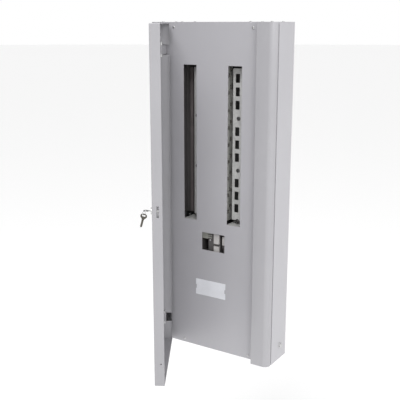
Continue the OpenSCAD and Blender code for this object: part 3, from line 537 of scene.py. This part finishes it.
def islands(node):
    """The lowest and highest corners of each separate solid in a node, in a fixed order."""
    bm = welded(node)
    left = set(bm.verts)
    found = []
    for start in list(bm.verts):
        if start not in left:
            continue
        stack, group = [start], []
        left.discard(start)
        while stack:
            vert = stack.pop()
            group.append(vert.co.copy())
            for edge in vert.link_edges:
                other = edge.other_vert(vert)
                if other in left:
                    left.discard(other)
                    stack.append(other)
        low = Vector(min(c[i] for c in group) for i in range(3))
        high = Vector(max(c[i] for c in group) for i in range(3))
        found.append((low, high))
    bm.free()
    return sorted(found, key=lambda pair: tuple(round(c, 4) for c in pair[0]))


def soften(bm, width, segments=2, where=None, angle=SOFTEN_ANGLE):
    """Round the sharp edges that where() picks, and mark the new faces as worn."""
    worn = bm.loops.layers.float.get("edge_wear") or bm.loops.layers.float.new("edge_wear")
    limit = math.radians(angle)
    sharp = [e for e in bm.edges
             if len(e.link_faces) == 2 and e.calc_face_angle(0.0) > limit
             and (where is None or where(e))]
    made = bmesh.ops.bevel(
        bm, geom=sharp, offset=width, offset_type="OFFSET", segments=segments, profile=0.5,
        affect="EDGES", material=-1, clamp_overlap=True)
    for face in made["faces"]:
        for loop in face.loops:
            loop[worn] = 1.0
    return bm


def publish(bm, name, body, slot, material=None, nodes=()):
    """Make the shaped mesh an object, smooth, finished and riding on its body."""
    mesh = bpy.data.meshes.new(name)
    bm.to_mesh(mesh)
    bm.free()
    mesh.polygons.foreach_set("use_smooth", [True] * len(mesh.polygons))
    mesh.set_sharp_from_angle(angle=STAY_SHARP_ANGLE)
    mesh.materials.append(bpy.data.materials[(material or slot) + FINISHED])
    piece = bpy.data.objects.new(name, mesh)
    bpy.context.scene.collection.objects.link(piece)
    flat = piece.modifiers.new("Weighted normals", "WEIGHTED_NORMAL")
    flat.keep_sharp = True
    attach(piece, body)
    if nodes:
        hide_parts(*nodes)
    return piece


def carry(node, width, segments=2, material=None, rules=()):
    """A node's own shape with softened edges; rules round some of its edges more, first."""
    bm = welded(node)
    for where, radius, steps in rules:
        soften(bm, radius, steps, where)
    soften(bm, width, segments)
    return publish(bm, node + "_piece", BODY_OF[node], SLOT_OF[node], material, (node,))


def near(value, target, slack=SLACK):
    return abs(value - target) < slack


def ends(edge):
    return [v.co for v in edge.verts]


def cut(bm, cutter):
    """Take one closed mesh away from another."""
    pair = []
    for source in (bm, cutter):
        mesh = bpy.data.meshes.new("cutting")
        source.to_mesh(mesh)
        source.free()
        thing = bpy.data.objects.new("cutting", mesh)
        bpy.context.scene.collection.objects.link(thing)
        pair.append(thing)
    tool = pair[0].modifiers.new("cut", "BOOLEAN")
    tool.operation = "DIFFERENCE"
    tool.solver = "EXACT"
    tool.object = pair[1]
    out = bmesh.new()
    out.from_object(pair[0], bpy.context.evaluated_depsgraph_get())
    for thing in pair:
        mesh = thing.data
        bpy.data.objects.remove(thing)
        bpy.data.meshes.remove(mesh)
    return out


# ---------------------------------------------------------------- box, trims and cover


def box_fold(edge):
    """The long outer folds of the box: back corners, and side walls into the grooves."""
    a, b = ends(edge)
    if near(abs(a.x), HALF_WIDTH) and near(abs(b.x), HALF_WIDTH):
        upright = near(a.y, b.y)
        return upright or near(abs(a.z), HALF_HEIGHT) and near(abs(b.z), HALF_HEIGHT)
    at_back = near(a.y, BOX_HIGH.y) and near(b.y, BOX_HIGH.y)
    return at_back and near(abs(a.z), HALF_HEIGHT) and near(abs(b.z), HALF_HEIGHT)


def make_box():
    size = sizes()
    carry("back_box", THIN_SHARE * size.edge, 2,
          rules=[(box_fold, FOLD_SHARE * size.fold, FOLD_STEPS)])
    for node in ("top_gland_plate", "bottom_gland_plate"):
        carry(node, THIN_SHARE * size.edge, 2, "chassis_plate")
    for node in ("trim_caps_left", "trim_caps_right"):
        carry(node, THIN_SHARE * size.edge, 2, "trim_paint")
    carry("earth_stud", size.small_edge, 2)


def trim_shape(node, side):
    """One side trim, folded from a strip: return, front, rounded edge and lip."""
    size = sizes()
    low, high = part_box(node)
    inner = low.x if side > 0 else high.x
    outer = high.x if side > 0 else low.x
    seam = low.y + size.trim_round + MM
    stops = [(inner, high.y), (inner, low.y), (outer, low.y), (outer, seam),
             (outer - side * size.trim_lip, seam)]
    bm = bmesh.new()
    line = [bm.verts.new((x, y, low.z)) for x, y in stops]
    for start, end in zip(line, line[1:]):
        bm.edges.new((start, end))
    raised = bmesh.ops.extrude_edge_only(bm, edges=bm.edges[:])["geom"]
    bmesh.ops.translate(bm, verts=[v for v in raised if isinstance(v, bmesh.types.BMVert)],
                        vec=(0, 0, high.z - low.z))

    def upright_at(x, y):
        return [e for e in bm.edges if near(e.verts[0].co.x, x) and near(e.verts[1].co.x, x)
                and near(e.verts[0].co.y, y) and near(e.verts[1].co.y, y)]

    for (x, y), radius, steps in ((stops[2], size.trim_round, ROUND_STEPS),
                                  (stops[1], size.trim_fold, FOLD_STEPS),
                                  (stops[3], LIP_FOLD, LIP_STEPS)):
        bmesh.ops.bevel(bm, geom=upright_at(x, y), offset=radius, offset_type="OFFSET",
                        segments=steps, profile=0.5, affect="EDGES", material=-1)
    return bm, inner


def thicken(bm, inward):
    """Give a folded strip its wall, on the side that the inward point is on."""
    bmesh.ops.recalc_face_normals(bm, faces=bm.faces)
    face = max(bm.faces, key=lambda f: f.calc_area())
    if face.normal.dot(Vector(inward) - face.calc_center_median()) > 0:
        bmesh.ops.reverse_faces(bm, faces=bm.faces)
    bmesh.ops.solidify(bm, geom=bm.faces[:], thickness=sizes().sheet)
    bmesh.ops.recalc_face_normals(bm, faces=bm.faces)
    return bm


def make_trims():
    for node, side in (("trim_left", -1), ("trim_right", 1)):
        bm, inner = trim_shape(node, side)
        if side > 0:
            window_in_return(bm, inner)
        low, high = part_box(node)
        inside = ((low.x + high.x) / 2, low.y + TRIM_INSIDE, 0.0)
        thicken(bm, inside)
        soften(bm, TRIM_EDGE, 2)
        for vert in bm.verts:
            for axis in range(3):
                vert.co[axis] = min(max(vert.co[axis], low[axis]), high[axis])
        publish(bm, node + "_piece", "cabinet", SLOT_OF[node], None, (node,))


def window_in_return(bm, inner):
    """The slot for the lock cam, cut in the flat return of the right trim."""
    cam_low, cam_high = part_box("lock_plug")
    middle = (cam_low.z + cam_high.z) / 2

    def return_faces():
        return [f for f in bm.faces if near(f.calc_center_median().x, inner)
                and abs(f.calc_center_median().z - middle) < CAM_WINDOW_HALF]

    for side in (-1, 1):
        bmesh.ops.bisect_plane(bm, geom=bm.verts[:] + bm.edges[:] + bm.faces[:],
                               plane_co=(0, 0, middle + side * CAM_WINDOW_HALF),
                               plane_no=(0, 0, 1))
    for depth in (CAM_WINDOW_FRONT, CAM_WINDOW_BACK):
        geom = [g for f in return_faces() for g in (*f.verts, *f.edges, f)]
        bmesh.ops.bisect_plane(bm, geom=list(dict.fromkeys(geom)),
                               plane_co=(0, depth, 0), plane_no=(0, 1, 0))
    hole = [f for f in return_faces()
            if CAM_WINDOW_FRONT < f.calc_center_median().y < CAM_WINDOW_BACK]
    bmesh.ops.delete(bm, geom=hole, context="FACES")


def make_cover():
    size = sizes()
    carry("front_cover", size.edge, 2)
    carry("label_plate", size.edge, 3)
    carry("label_rivets", size.small_edge, 3)


# ---------------------------------------------------------------- screws


def slotted_screw(radius, height, shank, length_in, turn):
    """A domed screw head standing on z = 0 with a driver slot, and its shank below."""
    bm = bmesh.new()
    rim = HEAD_RIM * height
    profile = [(radius * math.cos(a), rim + (height - rim) * math.sin(a))
               for a in (math.pi / 2 * k / DOME_STEPS
                         for k in range(DOME_STEPS, -1, -1))]
    profile += [(radius, 0.0), (shank, 0.0), (shank, -length_in), (0.0, -length_in)]
    line = [bm.verts.new((x, 0.0, z)) for x, z in profile]
    for start, end in zip(line, line[1:]):
        bm.edges.new((start, end))
    bmesh.ops.spin(bm, geom=bm.verts[:] + bm.edges[:], cent=(0, 0, 0), axis=(0, 0, 1),
                   angle=2 * math.pi, steps=ROUND_HEAD_STEPS, use_merge=True)
    bmesh.ops.remove_doubles(bm, verts=bm.verts, dist=SPUN_GAP)
    bmesh.ops.recalc_face_normals(bm, faces=bm.faces)
    slot = bmesh.new()
    bmesh.ops.create_cube(slot, size=1.0)
    bmesh.ops.scale(slot, vec=(SLOT_LENGTH * radius, SLOT_WIDTH * radius, height), verts=slot.verts)
    bmesh.ops.translate(slot, vec=(0, 0, height), verts=slot.verts)
    out = cut(bm, slot)
    soften(out, SLOT_EDGE, 1, angle=SLOT_ANGLE)
    bmesh.ops.rotate(out, verts=out.verts, cent=(0, 0, 0), matrix=Matrix.Rotation(turn, 3, "Z"))
    return out


def make_screws():
    facing = {"up": Matrix.Identity(3), "down": Matrix.Rotation(math.pi, 3, "X"),
              "front": Matrix.Rotation(math.pi / 2, 3, "X"),
              "back": Matrix.Rotation(-math.pi / 2, 3, "X")}
    # Node, head radius, head height and shank radius in mm, and turn of the first slot in degrees
    jobs = (("gland_screws", 4.0, 2.2, 2.0, 40.0), ("corner_screws", 4.0, 2.2, 2.0, 100.0),
            ("cover_screws", 4.0, 2.2, 2.0, 25.0), ("strip_screws", 6.2, 3.0, 2.0, 60.0),
            ("hinge_screws", 3.6, 1.6, 2.0, 15.0), ("incomer_screws", 3.5, 2.0, 2.0, 75.0),
            ("bar_screws", 3.0, 1.8, 2.0, 10.0))
    for node, radius, height, shank, start in jobs:
        whole = bmesh.new()
        for count, (low, high) in enumerate(islands(node)):
            middle = (low + high) / 2
            if node in ("gland_screws", "corner_screws"):
                way = "up" if middle.z > 0 else "down"
                seat = high.z - height * MM if middle.z > 0 else low.z + height * MM
                place = Vector((middle.x, middle.y, seat))
                depth = high.z - low.z - height * MM
            elif node == "hinge_screws":
                way = "back"
                place = Vector((middle.x, high.y - height * MM, middle.z))
                depth = high.y - low.y - height * MM
            else:
                way = "front"
                place = Vector((middle.x, low.y + height * MM, middle.z))
                depth = high.y - low.y - height * MM
            screw = slotted_screw(radius * MM, height * MM, shank * MM, depth,
                                  math.radians(start + SLOT_STEP * count))
            bmesh.ops.rotate(screw, verts=screw.verts, cent=(0, 0, 0), matrix=facing[way])
            bmesh.ops.translate(screw, verts=screw.verts, vec=place)
            mesh = bpy.data.meshes.new("screw")
            screw.to_mesh(mesh)
            screw.free()
            whole.from_mesh(mesh)
            bpy.data.meshes.remove(mesh)
        material = "dark_steel" if node == "strip_screws" else None
        publish(whole, node + "_piece", BODY_OF[node], SLOT_OF[node], material, (node,))


# ---------------------------------------------------------------- door, hinges and lock


def door_fold(edge):
    """The outer folds of the door pan: round its front, and down its four corners."""
    low, high = DOOR_CLOSED
    a, b = (closed_door(point) for point in ends(edge))
    front = near(a.y, low.y, DOOR_SLACK) and near(b.y, low.y, DOOR_SLACK)
    sides = [near(p.x, low.x, DOOR_SLACK) or near(p.x, high.x, DOOR_SLACK) for p in (a, b)]
    tips = [near(p.z, low.z, DOOR_SLACK) or near(p.z, high.z, DOOR_SLACK) for p in (a, b)]
    rim = front and (all(sides) or all(tips))
    return rim or all(sides) and all(tips) and not near(a.y, b.y)


def closed_box(node):
    points = [closed_door(v.co) for v in frame["nodes"][node].data.vertices]
    low = Vector(min(p[i] for p in points) for i in range(3))
    high = Vector(max(p[i] for p in points) for i in range(3))
    return low, high


DOOR_CLOSED = closed_box("door_panel")


def make_door():
    size = sizes()
    carry("door_panel", DOOR_SHARE * size.edge, 2, rules=[(door_fold, size.fold, FOLD_STEPS)])
    carry("door_hem", DOOR_SHARE * size.edge, 2)
    carry("door_buffers", size.moulded_edge, 3)


def make_hinges():
    size = sizes()
    for node in ("hinge_arm_top", "hinge_arm_bottom"):
        carry(node, ARM_EDGE, 3)
    for node in ("hinge_leaf_top", "hinge_leaf_bottom", "leaf_rivets", "hinge_pins"):
        carry(node, size.small_edge, 2)


def make_lock():
    size = sizes()
    for node in ("lock_barrel", "lock_nut", "lock_plug", "lock_cam", "cam_screw"):
        carry(node, size.small_edge, 3)


def make_keys():
    size = sizes()
    for node in ("lock_key", "spare_key"):
        carry(node, size.key_edge, 3)
    carry("key_ring", size.small_edge, 1)


# ---------------------------------------------------------------- inside


def make_chassis():
    size = sizes()
    # Painted shade: the zinc chassis plate gets the dark phosphate finish so that what shows
    # through the slots stays dark.
    carry("pan_plate", size.edge, 2, "dark_steel")
    for node in ("pan_pillars", "pan_nuts", "strip_posts"):
        carry(node, size.small_edge, 2)


def make_busbars():
    size = sizes()
    for node in ("busbar_l1", "busbar_l2", "busbar_l3"):
        carry(node, size.bar_edge, 3)
    carry("neutral_riser", size.bar_edge, 2, "riser_plate")
    carry("bus_fingers", FINGER_EDGE, 2, "tinned_copper")
    for node in ("bus_shroud", "busbar_supports", "left_liner"):
        carry(node, size.moulded_edge, 2)


def make_strips():
    size = sizes()
    for node in ("strip_right", "strip_left"):
        carry(node, size.edge, 2, "strip_plate")
    # Painted shade: the rail behind the strip's windows gets the dark phosphate finish so that the
    # windows look dark.
    carry("rail_right", RAIL_EDGE, 2, "dark_steel")
    carry("slot_shelves", THIN_SHARE * size.edge, 2, "strip_plate")


def make_incomer():
    size = sizes()
    for node in ("incomer_base", "incomer_covers"):
        carry(node, size.moulded_edge, 3)
    carry("incomer_block", size.moulded_edge, 3, "block_moulding")
    carry("incomer_knob", KNOB_EDGE, 3)


def make_terminals():
    size = sizes()
    for node in ("neutral_bar", "earth_bar"):
        carry(node, size.small_edge, 1)
    carry("bar_blocks", size.moulded_edge, 2)


# ---------------------------------------------------------------- stage


def soft_sky(stage):
    """A plain sky whose brightness differs smoothly from side to side, and looks white."""
    world = bpy.data.worlds.new("soft sky")
    world.use_nodes = True
    graph = Graph(world.node_tree)
    way = graph.add("TexCoord").outputs["Generated"]
    parts = graph.add("SeparateXYZ", Vector=way).outputs
    light = 0.0
    for part, up, down in ((parts[0], stage.sky_right, stage.sky_left),
                           (parts[1], stage.sky_back, stage.sky_front),
                           (parts[2], stage.sky_top, 0.0)):
        level = graph.span(part, -SKY_STEP, SKY_STEP, down, up)
        squared = graph.math("MULTIPLY", part, part)
        light = graph.math("MULTIPLY_ADD", squared, level, light)
    seen = graph.add("LightPath").outputs["Is Camera Ray"]
    graph.put(world.node_tree.nodes["Background"].inputs["Strength"],
              graph.math("MAXIMUM", light, seen))
    world.node_tree.nodes["Background"].inputs["Color"].default_value = (1.0, 1.0, 1.0, 1.0)
    return world


def make_stage():
    stage = bpy.context.scene.board_stage
    scene = bpy.context.scene
    scene.view_settings.view_transform = "Standard"
    bm = bmesh.new()
    bmesh.ops.create_circle(bm, cap_ends=True, segments=FLOOR_STEPS, radius=FLOOR_RADIUS)
    mesh = bpy.data.meshes.new("floor")
    bm.to_mesh(mesh)
    bm.free()
    floor = bpy.data.objects.new("floor", mesh)
    scene.collection.objects.link(floor)
    floor.location.z = BOX_LOW.z - stage.floor_drop
    pale = bpy.data.materials.new("floor")
    pale.use_nodes = True
    surface = pale.node_tree.nodes["Principled BSDF"]
    surface.inputs["Base Color"].default_value = (*stage.floor, 1.0)
    surface.inputs["Roughness"].default_value = FLOOR_ROUGHNESS
    surface.inputs["Specular IOR Level"].default_value = 0.0
    mesh.materials.append(pale)
    surface.inputs["Emission Color"].default_value = (1.0, 1.0, 1.0, 1.0)
    surface.inputs["Emission Strength"].default_value = stage.floor_glow
    scene.world = soft_sky(stage)
    for name, power, (place, wide) in (("key light", stage.key_power, KEY_LAMP),
                                       ("front light", stage.fill_power, FRONT_LAMP)):
        data = bpy.data.lights.new(name, "AREA")
        data.shape = "SQUARE"
        data.size = wide
        data.energy = power
        lamp = bpy.data.objects.new(name, data)
        lamp.location = place
        lamp.rotation_euler = (Vector(LAMP_AIM) - Vector(place)).to_track_quat("-Z", "Y").to_euler()
        scene.collection.objects.link(lamp)
    lens = bpy.data.cameras.new("camera")
    lens.lens = CAMERA_LENS
    lens.sensor_width = CAMERA_SENSOR
    camera = bpy.data.objects.new("camera", lens)
    camera.location = CAMERA_PLACE
    camera.rotation_euler = (math.radians(90.0 - CAMERA_DIP), 0.0, math.radians(CAMERA_TURN))
    scene.collection.objects.link(camera)
    scene.camera = camera


# ---------------------------------------------------------------- operators and panel


class BOARD_OT_finishes(bpy.types.Operator):
    """Make the shared shader groups and materials"""

    bl_idname = "board.finishes"
    bl_label = "Finishes"
    bl_options = {"REGISTER", "UNDO"}

    def execute(self, context):
        make_finishes()
        return {"FINISHED"}


class BOARD_OT_stage(bpy.types.Operator):
    """Make the floor, the lights and the camera"""

    bl_idname = "board.stage"
    bl_label = "Stage"
    bl_options = {"REGISTER", "UNDO"}

    def execute(self, context):
        make_stage()
        return {"FINISHED"}


class BOARD_OT_box(bpy.types.Operator):
    """Make the box, its gland plates and end caps"""

    bl_idname = "board.box"
    bl_label = "Box"
    bl_options = {"REGISTER", "UNDO"}

    def execute(self, context):
        make_box()
        return {"FINISHED"}


class BOARD_OT_trims(bpy.types.Operator):
    """Fold the two rounded side trims"""

    bl_idname = "board.trims"
    bl_label = "Trims"
    bl_options = {"REGISTER", "UNDO"}

    def execute(self, context):
        make_trims()
        return {"FINISHED"}


class BOARD_OT_cover(bpy.types.Operator):
    """Make the front cover and the blank label plate"""

    bl_idname = "board.cover"
    bl_label = "Cover"
    bl_options = {"REGISTER", "UNDO"}

    def execute(self, context):
        make_cover()
        return {"FINISHED"}


class BOARD_OT_screws(bpy.types.Operator):
    """Make the domed, slotted screws"""

    bl_idname = "board.screws"
    bl_label = "Screws"
    bl_options = {"REGISTER", "UNDO"}

    def execute(self, context):
        make_screws()
        return {"FINISHED"}


class BOARD_OT_door(bpy.types.Operator):
    """Make the door pan, its hem and its buffers"""

    bl_idname = "board.door"
    bl_label = "Door"
    bl_options = {"REGISTER", "UNDO"}

    def execute(self, context):
        make_door()
        return {"FINISHED"}


class BOARD_OT_hinges(bpy.types.Operator):
    """Make the hinge arms, leaves and pins"""

    bl_idname = "board.hinges"
    bl_label = "Hinges"
    bl_options = {"REGISTER", "UNDO"}

    def execute(self, context):
        make_hinges()
        return {"FINISHED"}


class BOARD_OT_lock(bpy.types.Operator):
    """Make the lock barrel, plug and cam"""

    bl_idname = "board.lock"
    bl_label = "Lock"
    bl_options = {"REGISTER", "UNDO"}

    def execute(self, context):
        make_lock()
        return {"FINISHED"}


class BOARD_OT_keys(bpy.types.Operator):
    """Make the two keys and their ring"""

    bl_idname = "board.keys"
    bl_label = "Keys"
    bl_options = {"REGISTER", "UNDO"}

    def execute(self, context):
        make_keys()
        return {"FINISHED"}


class BOARD_OT_chassis(bpy.types.Operator):
    """Make the chassis plate and its pillars"""

    bl_idname = "board.chassis"
    bl_label = "Chassis"
    bl_options = {"REGISTER", "UNDO"}

    def execute(self, context):
        make_chassis()
        return {"FINISHED"}


class BOARD_OT_busbars(bpy.types.Operator):
    """Make the busbars, fingers and shroud"""

    bl_idname = "board.busbars"
    bl_label = "Busbars"
    bl_options = {"REGISTER", "UNDO"}

    def execute(self, context):
        make_busbars()
        return {"FINISHED"}


class BOARD_OT_strips(bpy.types.Operator):
    """Make the perforated strips and the rail"""

    bl_idname = "board.strips"
    bl_label = "Strips"
    bl_options = {"REGISTER", "UNDO"}

    def execute(self, context):
        make_strips()
        return {"FINISHED"}


class BOARD_OT_incomer(bpy.types.Operator):
    """Make the incoming switch behind its opening"""

    bl_idname = "board.incomer"
    bl_label = "Incomer"
    bl_options = {"REGISTER", "UNDO"}

    def execute(self, context):
        make_incomer()
        return {"FINISHED"}


class BOARD_OT_terminals(bpy.types.Operator):
    """Make the neutral and earth bars"""

    bl_idname = "board.terminals"
    bl_label = "Terminals"
    bl_options = {"REGISTER", "UNDO"}

    def execute(self, context):
        make_terminals()
        return {"FINISHED"}


OPERATORS = (
    BOARD_OT_finishes, BOARD_OT_stage, BOARD_OT_box, BOARD_OT_trims, BOARD_OT_cover,
    BOARD_OT_screws, BOARD_OT_door, BOARD_OT_hinges, BOARD_OT_lock, BOARD_OT_keys,
    BOARD_OT_chassis, BOARD_OT_busbars, BOARD_OT_strips, BOARD_OT_incomer, BOARD_OT_terminals,
)


class BOARD_PT_panel(bpy.types.Panel):
    """Lists the sizes, finishes and pieces of the board."""

    bl_label = "Distribution board"
    bl_idname = "BOARD_PT_panel"
    bl_space_type = "VIEW_3D"
    bl_region_type = "UI"
    bl_category = "Board"

    def draw(self, context):
        layout = self.layout
        for group in ("board_sizes", "board_finish", "board_stage"):
            values = getattr(context.scene, group)
            box = layout.box()
            for key in values.__annotations__:
                box.prop(values, key)
        for made in OPERATORS:
            layout.operator(made.bl_idname)


GROUPS = {"board_sizes": BoardSizes, "board_finish": BoardFinish, "board_stage": BoardStage}
CLASSES = (*GROUPS.values(), *OPERATORS, BOARD_PT_panel)


def register():
    for made in CLASSES:
        bpy.utils.register_class(made)
    for name, group in GROUPS.items():
        setattr(bpy.types.Scene, name, bpy.props.PointerProperty(type=group))


def unregister():
    for name in GROUPS:
        delattr(bpy.types.Scene, name)
    for made in reversed(CLASSES):
        bpy.utils.unregister_class(made)


def main():
    register()
    for made in OPERATORS:
        name = made.bl_idname.split(".")[1]
        getattr(bpy.ops.board, name)()


if __name__ == "__main__":
    main()
